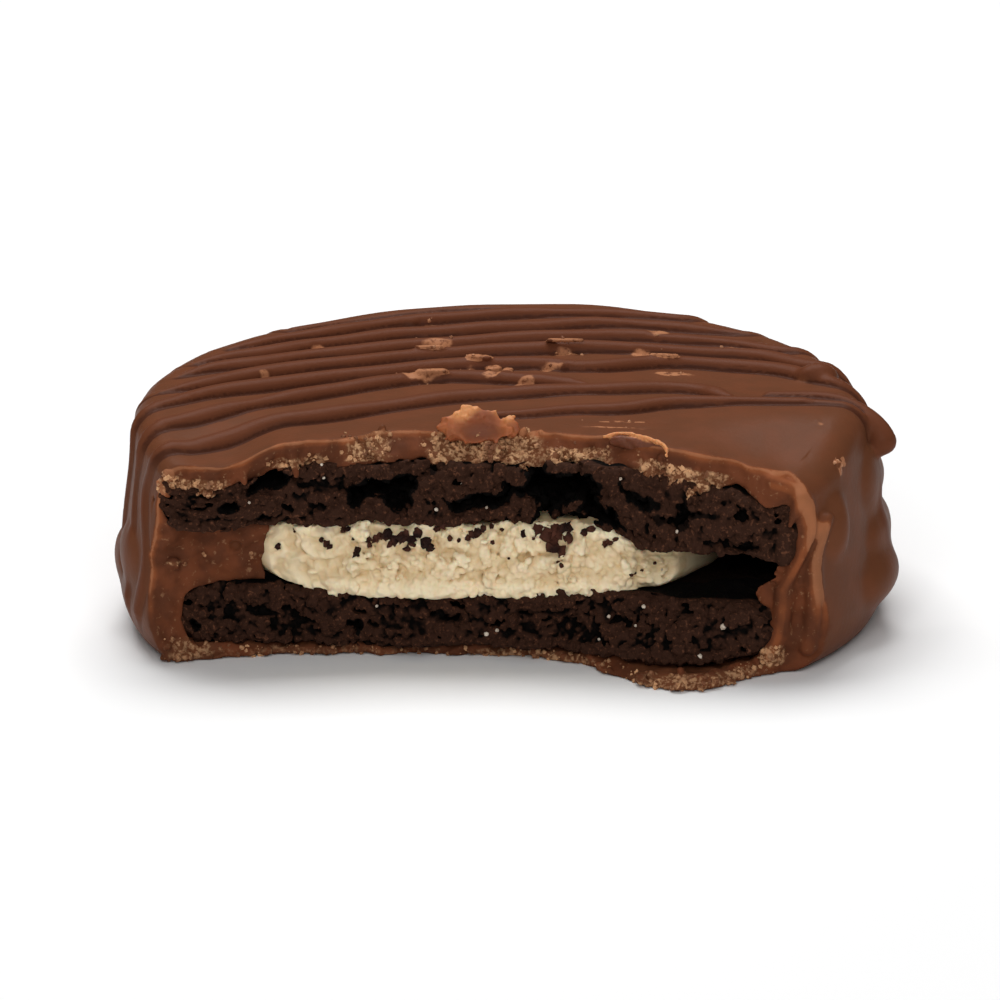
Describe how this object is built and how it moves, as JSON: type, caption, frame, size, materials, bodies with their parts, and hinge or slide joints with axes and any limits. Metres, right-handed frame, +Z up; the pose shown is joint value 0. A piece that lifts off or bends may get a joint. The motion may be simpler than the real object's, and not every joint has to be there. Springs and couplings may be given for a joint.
{
  "type": "coated sandwich cookie",
  "caption": "Round sandwich cookie in a drizzled milk chocolate coating, broken at the front so that its dark wafers and cream filling show; it lies flat.",
  "frame": {"origin": "middle of the bounding box at its bottom, on the surface that the cookie lies on", "axes": "+Z up through the layers, +X along the break, -Y out of the break towards the viewer"},
  "size_m": [0.0488, 0.0379, 0.0157],
  "materials": {
    "milk_chocolate": "satin milk chocolate, dull and lighter where it is broken",
    "dark_wafer": "matt, coarse and crumbly dark cocoa wafer",
    "cream_filling": "soft matt cream, grainy where it is torn"
  },
  "bodies": {
    "root": {"coating": "milk_chocolate", "wafer_top": "dark_wafer", "wafer_bottom": "dark_wafer", "cream": "cream_filling"}
  },
  "joints": []
}
